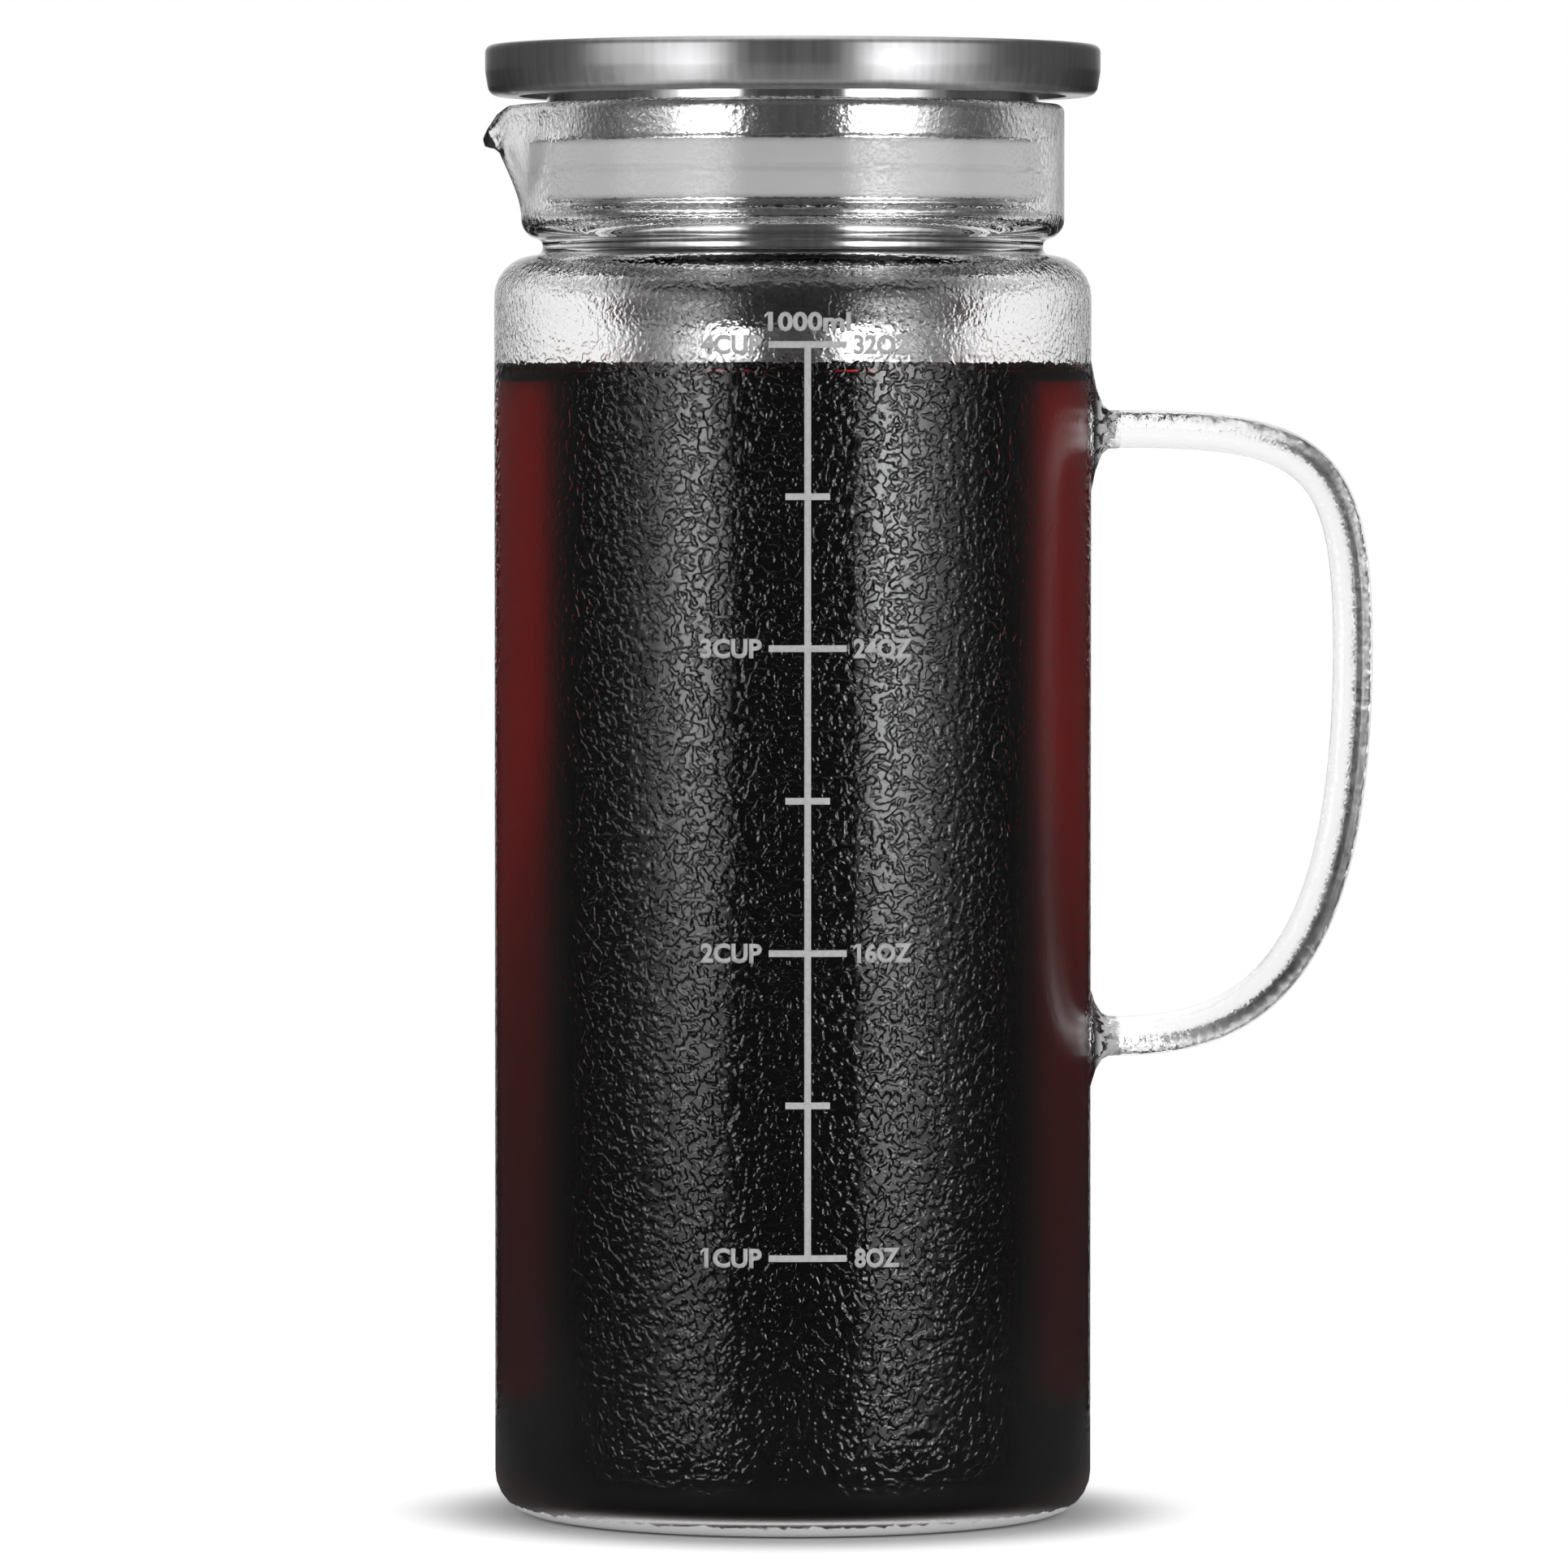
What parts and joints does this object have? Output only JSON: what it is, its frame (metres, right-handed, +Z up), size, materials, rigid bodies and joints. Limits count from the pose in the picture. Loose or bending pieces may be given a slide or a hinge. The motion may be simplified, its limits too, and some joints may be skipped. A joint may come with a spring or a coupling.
{
  "type": "cold brew coffee maker",
  "caption": "Glass cold brew carafe with a looped glass handle, pouring lip, lift-out steel filter and a round steel lid sealed with silicone.",
  "frame": {"origin": "centre of the carafe's flat base, on the carafe's axis", "axes": "+Z up along the carafe's axis, +X towards the handle, -X towards the pouring lip, -Y towards the front with the scale"},
  "size_m": [0.1309, 0.0906, 0.2163],
  "materials": {
    "glass": "clear, with fine condensation outside",
    "brushed_steel": "brushed, satin",
    "filter_steel": "satin",
    "mesh_steel": "fine mesh",
    "silicone": "milky, matt"
  },
  "bodies": {
    "carafe": {"glass_carafe": "glass", "glass_handle": "glass"},
    "filter": {"filter_collar": "filter_steel", "filter_cage": "filter_steel", "filter_mesh": "mesh_steel", "filter_base": "filter_steel"},
    "seal": {"lid_seal": "silicone"},
    "lid": {"lid_cap": "brushed_steel", "lid_plug": "brushed_steel"}
  },
  "joints": [
    {"name": "filter_lift", "type": "slide", "parent": "carafe", "child": "filter", "axis": [0, 0, 1], "range_m": [0, 0.195]},
    {"name": "lid_lift", "type": "slide", "parent": "filter", "child": "seal", "axis": [0, 0, 1], "range_m": [0, 0.04]},
    {"name": "lid_turn", "type": "hinge", "parent": "seal", "child": "lid", "pos_m": [0, 0, 0.2], "axis": [0, 0, 1], "continuous": true}
  ]
}
